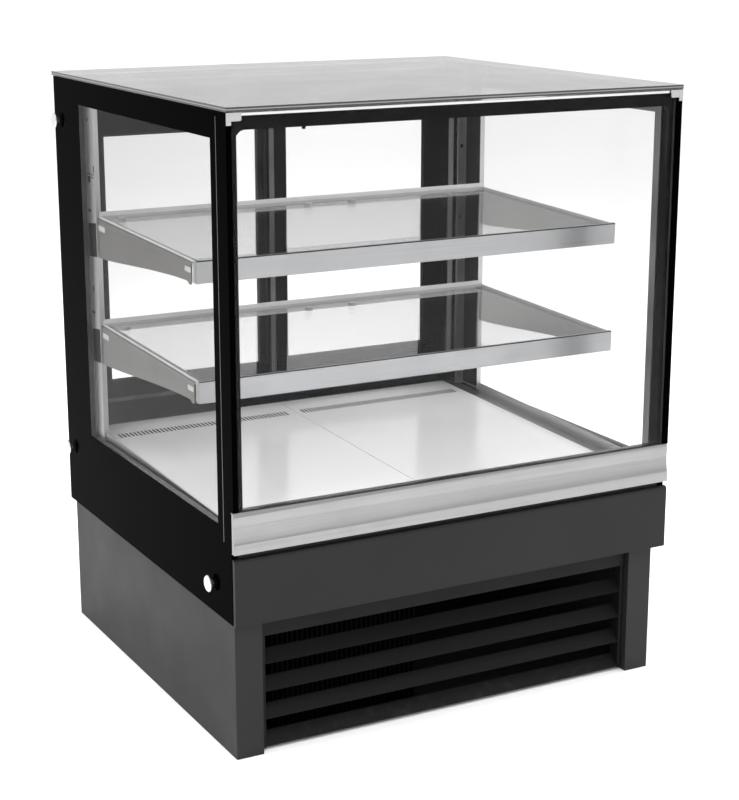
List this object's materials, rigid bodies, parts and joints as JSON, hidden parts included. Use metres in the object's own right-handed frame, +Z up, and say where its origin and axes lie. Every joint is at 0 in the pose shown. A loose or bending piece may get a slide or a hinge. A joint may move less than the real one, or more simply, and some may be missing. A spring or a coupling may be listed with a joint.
{
  "type": "bakery display case",
  "caption": "Square glass refrigerated bakery display case with sloping deck, tilted glass shelves, sliding rear doors, tilting front glass and louvred machine base.",
  "frame": {"origin": "centre of the bounding box's bottom face, on the floor", "axes": "+X to the right seen from the customer's side, +Y towards the service side with the sliding doors, +Z up"},
  "size_m": [0.922, 0.844, 1.133],
  "materials": {
    "black_glass": "gloss black back-painted border round a clear window",
    "clear_glass": "clear, polished",
    "top_glass": "clear, seen grey against the dark frame",
    "charcoal_paint": "satin powder coat",
    "dark_paint": "satin powder coat",
    "gloss_black": "semi-gloss black",
    "black_aluminium": "semi-gloss black coated profile",
    "satin_steel": "brushed along the width",
    "rail_aluminium": "satin anodised",
    "bracket_steel": "satin",
    "white_deck": "gloss white",
    "milky_plastic": "translucent",
    "bright_trim": "polished",
    "black_rubber": "matt",
    "black_plastic": "matt",
    "foam_core": "painted skin over foam",
    "fins": "black coated",
    "compressor_shell": "black enamel",
    "display_panel": "dark panel"
  },
  "bodies": {
    "cabinet": {"base_side_l": "charcoal_paint", "base_side_r": "charcoal_paint", "fascia": "charcoal_paint", "base_chassis": "dark_paint", "louvre_grille": "dark_paint", "condenser_shroud": "dark_paint", "tub": "foam_core", "condenser": "fins", "evaporator": "fins", "power_inlet": "black_rubber", "sill_gasket": "black_rubber", "compressor": "compressor_shell", "control_panel": "display_panel", "deck_pan_l": "white_deck", "deck_pan_r": "white_deck", "deck_rail_l": "satin_steel", "deck_rail_r": "satin_steel", "sill": "satin_steel", "upright_l": "satin_steel", "upright_r": "satin_steel", "side_glass_l": "black_glass", "side_glass_r": "black_glass", "side_frame_l": "rail_aluminium", "side_frame_r": "rail_aluminium", "standoff_l1": "rail_aluminium", "standoff_l2": "rail_aluminium", "standoff_l3": "rail_aluminium", "standoff_r1": "rail_aluminium", "standoff_r2": "rail_aluminium", "standoff_r3": "rail_aluminium", "shelf_upper_rail": "rail_aluminium", "shelf_lower_rail": "rail_aluminium", "top_glass": "top_glass", "shelf_upper_glass": "clear_glass", "shelf_lower_glass": "clear_glass", "hinge_clip_l": "bright_trim", "hinge_clip_r": "bright_trim", "rear_head": "black_aluminium", "rear_jamb_l": "black_aluminium", "rear_jamb_r": "black_aluminium", "rear_sill": "black_aluminium", "shelf_upper_bracket_l": "bracket_steel", "shelf_upper_bracket_r": "bracket_steel", "shelf_lower_bracket_l": "bracket_steel", "shelf_lower_bracket_r": "bracket_steel", "shelf_upper_led": "milky_plastic", "shelf_upper_back_strip": "milky_plastic", "shelf_lower_led": "milky_plastic", "shelf_lower_back_strip": "milky_plastic"},
    "front_glass_body": {"front_glass": "clear_glass", "front_glass_rail": "bright_trim", "hinge_arm_l": "gloss_black", "hinge_arm_r": "gloss_black"},
    "door_left": {"door_l_frame": "black_aluminium", "door_l_glass": "clear_glass"},
    "door_right": {"door_r_frame": "black_aluminium", "door_r_glass": "clear_glass"},
    "evaporator_fan": {"evaporator_rotor": "black_plastic"},
    "condenser_fan": {"condenser_rotor": "black_plastic"},
    "main_switch": {"rocker_main": "black_plastic"}
  },
  "joints": [
    {"name": "front_glass_tilt", "type": "hinge", "parent": "cabinet", "child": "front_glass_body", "pos_m": [0, -0.412, 1.103], "axis": [-1, 0, 0], "range_deg": [0, 80]},
    {"name": "door_left_slide", "type": "slide", "parent": "cabinet", "child": "door_left", "axis": [1, 0, 0], "range_m": [0, 0.38]},
    {"name": "door_right_slide", "type": "slide", "parent": "cabinet", "child": "door_right", "axis": [-1, 0, 0], "range_m": [0, 0.38]},
    {"name": "evaporator_fan_spin", "type": "hinge", "parent": "cabinet", "child": "evaporator_fan", "pos_m": [0, 0.154, 0.337], "axis": [0, 1, 0], "continuous": true},
    {"name": "condenser_fan_spin", "type": "hinge", "parent": "cabinet", "child": "condenser_fan", "pos_m": [-0.19, -0.244, 0.108], "axis": [0, 1, 0], "continuous": true},
    {"name": "main_switch_rock", "type": "hinge", "parent": "cabinet", "child": "main_switch", "pos_m": [0.366, 0.4055, 0.185], "axis": [1, 0, 0], "range_deg": [0, 14]}
  ]
}
